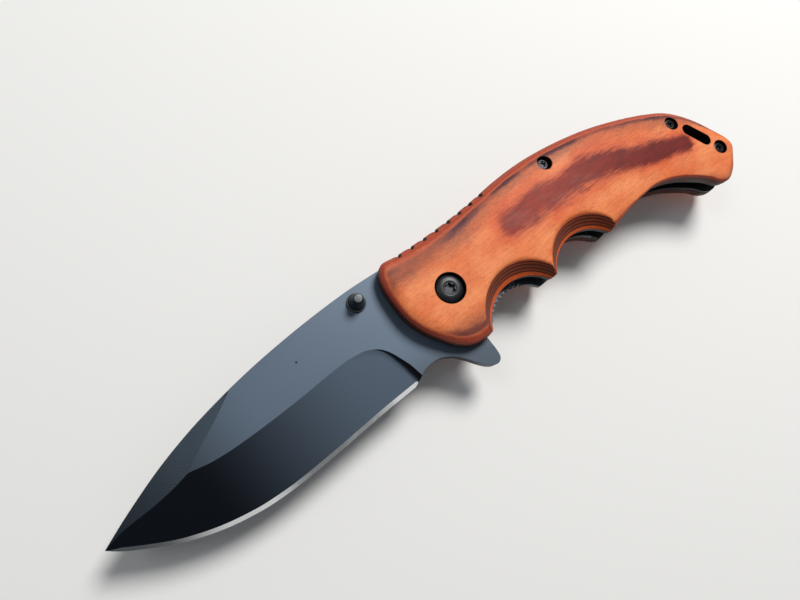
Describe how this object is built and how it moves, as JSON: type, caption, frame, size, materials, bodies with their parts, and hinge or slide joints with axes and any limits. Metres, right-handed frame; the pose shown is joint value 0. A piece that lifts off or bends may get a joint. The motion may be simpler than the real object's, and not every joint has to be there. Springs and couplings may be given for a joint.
{
  "type": "folding pocket knife",
  "caption": "Liner-lock folding knife, open: coated drop-point blade with flipper tab and thumb studs, finger-grooved stained wood scales, lanyard slot and pocket clip.",
  "frame": {"origin": "centre of the bounding box at its bottom, on the plane of the pocket clip's outer face", "axes": "+X from the pivot towards the butt, +Y towards the spine of the handle, +Z out of the show side, parallel to the pivot axis"},
  "size_m": [0.2022, 0.0414, 0.0184],
  "materials": {
    "wood": "laminated wood stained orange with a red-brown streak, satin lacquer",
    "coated_blade": "blue-black coating over a satin ground blade, bare sharpened edge",
    "blackened_steel": "black oxide, satin",
    "spring_steel": "bare steel, fine brushed",
    "black_hardware": "black oxide, semi-gloss",
    "washer": "phosphor bronze, polished by use",
    "black_spacer": "matte black moulded"
  },
  "bodies": {
    "handle": {"front_scale": "wood", "rear_scale": "wood", "front_liner": "blackened_steel", "rear_liner": "blackened_steel", "backspacer": "black_spacer", "stop_pin": "spring_steel", "front_washer": "washer", "rear_washer": "washer", "pivot_barrel": "black_hardware", "pivot_screw": "black_hardware", "front_spine_screw": "black_hardware", "rear_spine_screw": "black_hardware", "front_butt_screw": "black_hardware", "rear_butt_screw": "black_hardware", "front_tail_screw": "black_hardware", "rear_tail_screw": "black_hardware", "pocket_clip": "blackened_steel", "clip_screw_1": "black_hardware", "clip_screw_2": "black_hardware"},
    "blade": {"blade": "coated_blade", "thumb_stud_front": "black_hardware", "thumb_stud_rear": "black_hardware"},
    "lock": {"lock_bar": "spring_steel"}
  },
  "joints": [
    {"name": "blade_fold", "type": "hinge", "parent": "handle", "child": "blade", "pos_m": [-0.00309, 0.00373, 0.0108], "axis": [0, 0, 1], "range_deg": [0, 170]},
    {"name": "lock_bar_flex", "type": "hinge", "parent": "handle", "child": "lock", "pos_m": [0.04591, 0.00373, 0.00825], "axis": [0, 1, 0], "range_deg": [-2.56, 0], "deforming": ["lock_bar"]}
  ],
  "couplings": [
    {"joint": "lock_bar_flex", "follows": "blade_fold", "ratio": -0.015}
  ]
}
